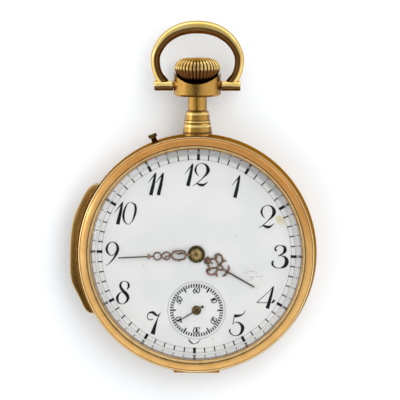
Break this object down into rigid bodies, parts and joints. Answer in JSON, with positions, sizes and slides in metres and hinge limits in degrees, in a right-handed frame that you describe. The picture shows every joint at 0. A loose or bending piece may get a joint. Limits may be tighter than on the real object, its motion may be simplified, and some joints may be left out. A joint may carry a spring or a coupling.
{
  "type": "open face pocket watch",
  "caption": "Open-face repeater pocket watch with gold case, hinged bezel and back, enamel dial, small seconds, fluted crown, swinging bow and a slide on the band.",
  "frame": {"origin": "centre of the flat disc of the back cover that the watch lies on", "axes": "+Z out of the dial, +Y towards 12 o'clock, the pendant and the bow, +X towards 3 o'clock"},
  "size_m": [0.0538, 0.0765, 0.0127],
  "materials": {
    "case_gold": "polished",
    "crystal": "clear",
    "enamel": "gloss",
    "hand_gold": "polished",
    "gilt_brass": "satin",
    "nickel_plate": "satin",
    "steel": "polished",
    "blued_steel": "polished",
    "ruby": "polished"
  },
  "bodies": {
    "case": {"case_middle": "case_gold", "pendant": "case_gold", "bow_screws": "case_gold", "back_hinge_pin": "case_gold", "bezel_hinge_pin": "case_gold", "cuvette_hinge_pin": "case_gold", "main_plate": "nickel_plate", "barrel_bridge": "nickel_plate", "train_bridge": "nickel_plate", "balance_cock": "nickel_plate", "pallet_bridge": "nickel_plate", "bridge_jewels": "ruby", "plate_jewels": "ruby", "bridge_screws": "blued_steel", "case_screws": "blued_steel", "dial": "enamel", "dial_feet": "gilt_brass", "click_spring": "steel", "hairspring": "blued_steel", "gongs": "steel", "gong_block": "gilt_brass"},
    "back_cover": {"back_cover": "case_gold"},
    "cuvette": {"cuvette": "case_gold"},
    "bezel": {"bezel": "case_gold", "crystal": "crystal"},
    "bow": {"bow": "case_gold"},
    "winding": {"crown": "case_gold", "winding_stem": "steel", "winding_pinion": "steel", "sliding_pinion": "steel"},
    "crown_wheel": {"crown_wheel": "steel"},
    "ratchet": {"ratchet_wheel": "steel", "barrel_arbor": "steel"},
    "barrel": {"mainspring_barrel": "gilt_brass", "mainspring": "steel"},
    "minute_arbor": {"centre_wheel": "gilt_brass", "cannon_pinion": "steel", "minute_hand": "hand_gold"},
    "minute_wheel": {"minute_wheel": "gilt_brass"},
    "hour_wheel": {"hour_wheel": "gilt_brass", "hour_hand": "hand_gold"},
    "third_wheel": {"third_wheel": "gilt_brass"},
    "seconds_arbor": {"fourth_wheel": "gilt_brass", "seconds_hand": "hand_gold"},
    "escape_wheel": {"escape_wheel": "steel"},
    "pallet_fork": {"pallet_fork": "steel"},
    "balance": {"balance_wheel": "gilt_brass"},
    "regulator": {"regulator": "steel"},
    "click": {"click": "steel"},
    "setting_lever": {"setting_lever": "steel"},
    "set_pusher": {"set_pusher": "case_gold"},
    "repeater_slide": {"repeater_slide": "case_gold", "repeater_rack": "steel"},
    "repeater_barrel": {"repeater_barrel": "gilt_brass"},
    "governor": {"governor": "gilt_brass"},
    "hour_hammer": {"hour_hammer": "steel"},
    "quarter_hammer": {"quarter_hammer": "steel"}
  },
  "joints": [
    {"name": "back_lid", "type": "hinge", "parent": "case", "child": "back_cover", "pos_m": [0, -0.0256, 0.00343], "axis": [-1, 0, 0], "range_deg": [0, 100]},
    {"name": "cuvette_lid", "type": "hinge", "parent": "case", "child": "cuvette", "pos_m": [0, -0.0242, 0.00362], "axis": [-1, 0, 0], "range_deg": [0, 90]},
    {"name": "bezel_lid", "type": "hinge", "parent": "case", "child": "bezel", "pos_m": [0, -0.0256, 0.00988], "axis": [1, 0, 0], "range_deg": [0, 100]},
    {"name": "bow_swing", "type": "hinge", "parent": "case", "child": "bow", "pos_m": [0, 0.03635, 0.0064], "axis": [1, 0, 0], "range_deg": [-120, 120]},
    {"name": "winding_turn", "type": "hinge", "parent": "case", "child": "winding", "pos_m": [0, 0.03, 0.0064], "axis": [0, 1, 0], "continuous": true},
    {"name": "crown_wheel_turn", "type": "hinge", "parent": "case", "child": "crown_wheel", "pos_m": [0, 0.01435, 0.0036], "axis": [0, 0, 1], "continuous": true},
    {"name": "ratchet_turn", "type": "hinge", "parent": "case", "child": "ratchet", "pos_m": [0.00456, 0.0079, 0.0036], "axis": [0, 0, 1], "continuous": true},
    {"name": "minute_turn", "type": "hinge", "parent": "case", "child": "minute_arbor", "pos_m": [0, 0, 0.006], "axis": [0, 0, 1], "continuous": true},
    {"name": "hour_turn", "type": "hinge", "parent": "case", "child": "hour_wheel", "pos_m": [0, 0, 0.009], "axis": [0, 0, 1], "continuous": true},
    {"name": "minute_wheel_turn", "type": "hinge", "parent": "case", "child": "minute_wheel", "pos_m": [-0.00063, 0.00355, 0.009], "axis": [0, 0, 1], "continuous": true},
    {"name": "barrel_turn", "type": "hinge", "parent": "case", "child": "barrel", "pos_m": [0.00456, 0.0079, 0.006], "axis": [0, 0, 1], "continuous": true},
    {"name": "third_turn", "type": "hinge", "parent": "case", "child": "third_wheel", "pos_m": [0.00378, -0.00665, 0.006], "axis": [0, 0, 1], "continuous": true},
    {"name": "seconds_turn", "type": "hinge", "parent": "case", "child": "seconds_arbor", "pos_m": [0, -0.0123, 0.006], "axis": [0, 0, 1], "continuous": true},
    {"name": "escape_turn", "type": "hinge", "parent": "case", "child": "escape_wheel", "pos_m": [-0.00531, -0.01136, 0.006], "axis": [0, 0, 1], "continuous": true},
    {"name": "fork_swing", "type": "hinge", "parent": "case", "child": "pallet_fork", "pos_m": [-0.00791, -0.00986, 0.006], "axis": [0, 0, 1], "range_deg": [-4, 4]},
    {"name": "balance_swing", "type": "hinge", "parent": "case", "child": "balance", "pos_m": [-0.01163, -0.00771, 0.006], "axis": [0, 0, 1], "range_deg": [-270, 270], "stiffness_Nm_per_rad": 0.0000006},
    {"name": "regulator_turn", "type": "hinge", "parent": "case", "child": "regulator", "pos_m": [-0.01163, -0.00771, 0.00375], "axis": [0, 0, 1], "range_deg": [-12, 12]},
    {"name": "click_lift", "type": "hinge", "parent": "case", "child": "click", "pos_m": [0.01076, 0.00564, 0.0036], "axis": [0, 0, -1], "range_deg": [0, 8], "stiffness_Nm_per_rad": 0.0000004, "springref_deg": -11.46},
    {"name": "pusher_slide", "type": "slide", "parent": "case", "child": "set_pusher", "axis": [0.3584, -0.9336, 0], "range_m": [0, 0.0008], "stiffness_N_per_m": 100, "springref_m": -0.0004},
    {"name": "setting_turn", "type": "hinge", "parent": "case", "child": "setting_lever", "pos_m": [-0.0079, 0.0162, 0.0062], "axis": [0, 0, -1], "range_deg": [0, 6.2]},
    {"name": "slide_turn", "type": "hinge", "parent": "case", "child": "repeater_slide", "pos_m": [0, 0, 0.0064], "axis": [0, 0, -1], "range_deg": [0, 16], "stiffness_Nm_per_rad": 0.05, "springref_deg": -5.73},
    {"name": "repeater_turn", "type": "hinge", "parent": "case", "child": "repeater_barrel", "pos_m": [-0.01315, 0.01315, 0.006], "axis": [0, 0, -1], "range_deg": [0, 166]},
    {"name": "governor_turn", "type": "hinge", "parent": "case", "child": "governor", "pos_m": [-0.01502, 0.01093, 0.006], "axis": [0, 0, -1], "range_deg": [-640, 0]},
    {"name": "hour_hammer_lift", "type": "hinge", "parent": "case", "child": "hour_hammer", "pos_m": [0.01483, -0.00599, 0.0045], "axis": [0, 0, -1], "range_deg": [0, 8], "stiffness_Nm_per_rad": 0.00001, "springref_deg": -11.46},
    {"name": "quarter_hammer_lift", "type": "hinge", "parent": "case", "child": "quarter_hammer", "pos_m": [0.00985, -0.01261, 0.0045], "axis": [0, 0, -1], "range_deg": [0, 8], "stiffness_Nm_per_rad": 0.00001, "springref_deg": -11.46}
  ],
  "couplings": [
    {"joint": "cuvette_lid", "follows": "back_lid", "ratio": 0.88},
    {"joint": "hour_turn", "follows": "minute_turn", "ratio": 0.083333},
    {"joint": "minute_wheel_turn", "follows": "minute_turn", "ratio": -0.33333},
    {"joint": "barrel_turn", "follows": "minute_turn", "ratio": -0.14286},
    {"joint": "third_turn", "follows": "minute_turn", "ratio": -8},
    {"joint": "seconds_turn", "follows": "minute_turn", "ratio": 60},
    {"joint": "escape_turn", "follows": "minute_turn", "ratio": -600},
    {"joint": "crown_wheel_turn", "follows": "winding_turn", "ratio": 0.79167},
    {"joint": "ratchet_turn", "follows": "winding_turn", "ratio": -0.56793},
    {"joint": "setting_turn", "follows": "pusher_slide", "rad_per_m": 130.9},
    {"joint": "repeater_turn", "follows": "slide_turn", "ratio": 10.3},
    {"joint": "governor_turn", "follows": "slide_turn", "ratio": -39.483}
  ]
}
